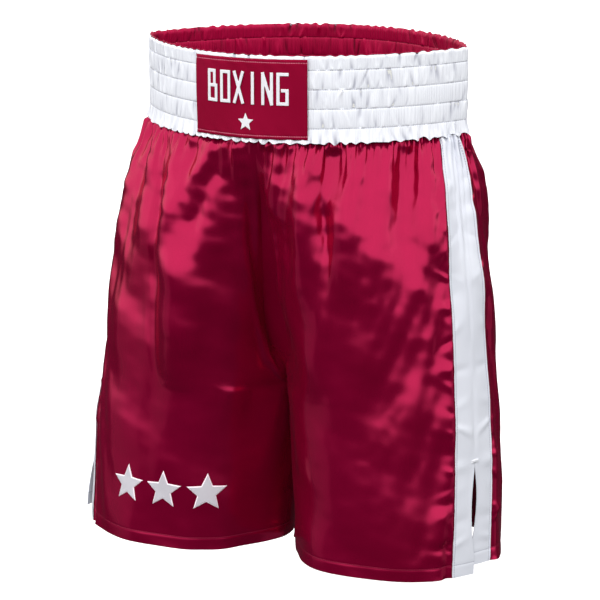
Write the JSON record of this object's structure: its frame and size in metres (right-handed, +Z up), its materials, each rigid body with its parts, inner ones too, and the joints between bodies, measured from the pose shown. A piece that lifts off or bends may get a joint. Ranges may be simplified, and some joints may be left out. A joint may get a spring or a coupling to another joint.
{
  "type": "boxing shorts",
  "caption": "Boxing trunks: gathered elastic waistband with a sewn patch, wide satin legs, contrast side stripes and slit hems.",
  "frame": {"origin": "centre of the waist opening, level with the top edge of the waistband at the hips", "axes": "+Z up out of the waist opening, -Y the front, +X the wearer's left"},
  "size_m": [0.5353, 0.2708, 0.6191],
  "materials": {
    "crimson_satin": "glossy woven satin",
    "white_satin": "glossy woven satin",
    "patch_cloth": "semi-matte woven twill",
    "elastic": "matte ribbed elastic",
    "embroidery": "satin-stitch thread"
  },
  "bodies": {
    "root": {"front_left_panel": "crimson_satin", "front_right_panel": "crimson_satin", "back_left_panel": "crimson_satin", "back_right_panel": "crimson_satin", "left_stripe_front": "white_satin", "left_stripe_back": "white_satin", "right_stripe_front": "white_satin", "right_stripe_back": "white_satin", "waistband_shell": "white_satin", "waistband_lining": "crimson_satin", "elastic_upper": "elastic", "elastic_middle": "elastic", "elastic_lower": "elastic", "waist_patch": "patch_cloth", "patch_letter_b": "embroidery", "patch_letter_o": "embroidery", "patch_letter_x": "embroidery", "patch_letter_i": "embroidery", "patch_letter_n": "embroidery", "patch_letter_g": "embroidery", "patch_star": "embroidery", "leg_star_outer": "embroidery", "leg_star_middle": "embroidery", "leg_star_inner": "embroidery", "left_slit_bartack": "embroidery", "right_slit_bartack": "embroidery"}
  },
  "joints": []
}
